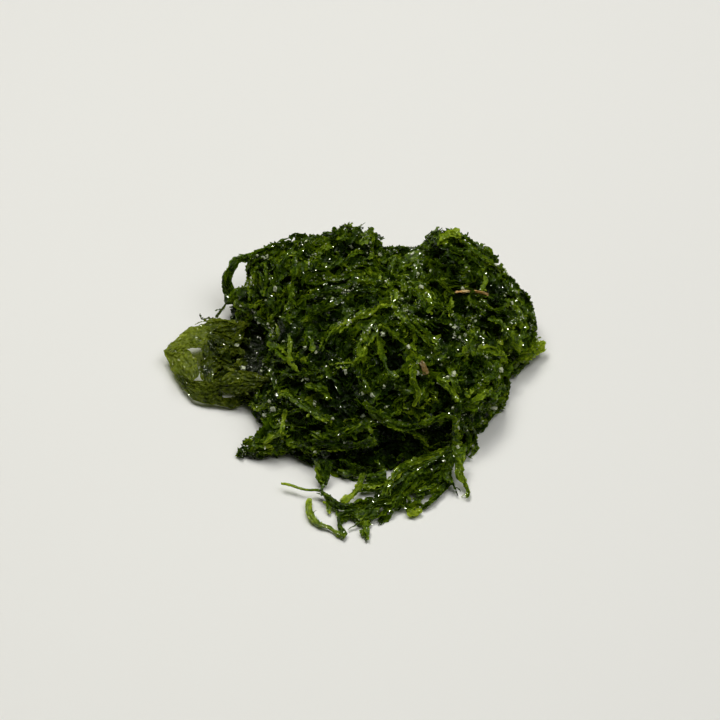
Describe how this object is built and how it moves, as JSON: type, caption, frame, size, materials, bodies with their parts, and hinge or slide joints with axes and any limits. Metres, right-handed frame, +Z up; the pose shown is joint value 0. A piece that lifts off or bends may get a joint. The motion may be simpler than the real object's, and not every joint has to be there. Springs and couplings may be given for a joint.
{
  "type": "sea lettuce heap",
  "caption": "Heap of salted, shredded sea lettuce: matted wet fronds in a low tangle, with a broad folded frond and a trailing bundle of strands.",
  "frame": {"origin": "centre of the heap's box, on the flat surface that it rests on", "axes": "+Z up; +Y towards the back of the heap, where it is highest; the trailing bundle points towards -Y"},
  "size_m": [0.147, 0.1505, 0.0382],
  "materials": {
    "deep_frond": "wet, thin and slightly see-through, deep green with yellow-green edges",
    "olive_frond": "wet, thin and see-through, olive green, brownish along one edge",
    "bright_frond": "wet, thin and see-through, bright yellow-green",
    "dried_stalk": "matte, dry and fibrous",
    "salt": "clear, faceted grains"
  },
  "bodies": {
    "root": {"centre_tangle": "deep_frond", "back_left_tangle": "deep_frond", "right_tangle": "deep_frond", "front_tangle": "deep_frond", "lower_left_tuft": "deep_frond", "trailing_bundle": "deep_frond", "standing_loop": "deep_frond", "front_tuft": "deep_frond", "left_broad_frond": "olive_frond", "right_tip": "bright_frond", "tan_stalk": "dried_stalk", "tan_fleck": "dried_stalk"}
  },
  "joints": []
}
